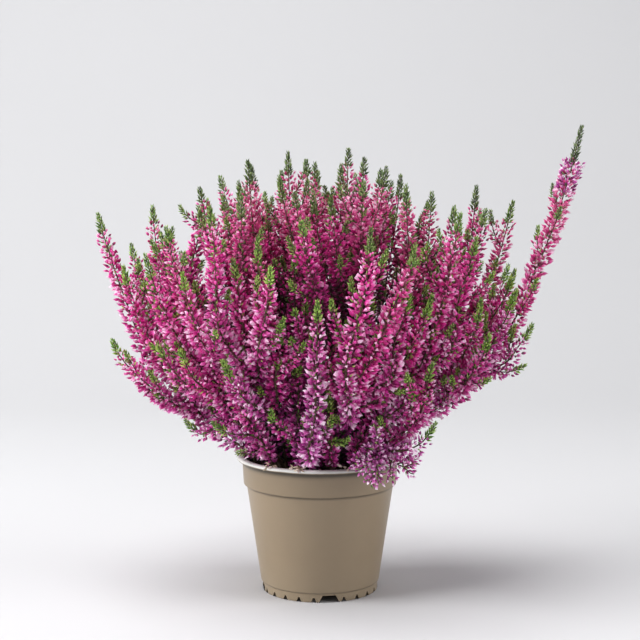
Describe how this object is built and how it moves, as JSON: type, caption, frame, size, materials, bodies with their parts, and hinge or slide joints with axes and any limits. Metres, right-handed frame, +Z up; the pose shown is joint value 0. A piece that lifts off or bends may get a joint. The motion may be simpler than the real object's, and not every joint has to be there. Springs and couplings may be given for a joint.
{
  "type": "potted heather",
  "caption": "Bushy bud-flowering heather in a round tapered nursery pot, with upright magenta flower spikes that end in green leafy tips.",
  "frame": {"origin": "on the surface that the pot stands on, under the middle of the plant's bounding box; the pot's axis is 10.9 mm from it towards -X and 5.8 mm towards -Y", "axes": "+Z up, +X towards the side of the tall leading shoot (right in the picture), -Y towards the front of the plant"},
  "size_m": [0.3162, 0.2091, 0.3062],
  "materials": {
    "pot_plastic": "satin taupe injection-moulded plastic",
    "potting_mix": "dark fibrous potting mix",
    "heather_wood": "thin grey-brown bark",
    "heather_flowers": "magenta buds with small green leaves and green shoot tips"
  },
  "bodies": {
    "root": {"pot": "pot_plastic", "soil": "potting_mix", "stem_01": "heather_wood", "stem_02": "heather_wood", "stem_03": "heather_wood", "stem_04": "heather_wood", "stem_05": "heather_wood", "stem_06": "heather_wood", "stem_07": "heather_wood", "stem_08": "heather_wood", "stem_09": "heather_wood", "stem_10": "heather_wood", "stem_11": "heather_wood", "stem_12": "heather_wood", "stem_13": "heather_wood", "stem_14": "heather_wood", "stem_15": "heather_wood", "stem_16": "heather_wood", "stem_17": "heather_wood", "stem_18": "heather_wood", "stem_19": "heather_wood", "stem_20": "heather_wood", "stem_21": "heather_wood", "stem_22": "heather_wood", "stem_23": "heather_wood", "stem_24": "heather_wood", "stem_25": "heather_wood", "stem_26": "heather_wood", "stem_27": "heather_wood", "stem_28": "heather_wood", "stem_29": "heather_wood", "spray_01": "heather_flowers", "spray_02": "heather_flowers", "spray_03": "heather_flowers", "spray_04": "heather_flowers", "spray_05": "heather_flowers", "spray_06": "heather_flowers", "spray_07": "heather_flowers", "spray_08": "heather_flowers", "spray_09": "heather_flowers", "spray_10": "heather_flowers", "spray_11": "heather_flowers", "spray_12": "heather_flowers", "spray_13": "heather_flowers", "spray_14": "heather_flowers", "spray_15": "heather_flowers", "spray_16": "heather_flowers", "spray_17": "heather_flowers", "spray_18": "heather_flowers", "spray_19": "heather_flowers", "spray_20": "heather_flowers", "spray_21": "heather_flowers", "spray_22": "heather_flowers", "spray_23": "heather_flowers", "spray_24": "heather_flowers", "spray_25": "heather_flowers", "spray_26": "heather_flowers", "spray_27": "heather_flowers", "spray_28": "heather_flowers", "spray_29": "heather_flowers"}
  },
  "joints": []
}
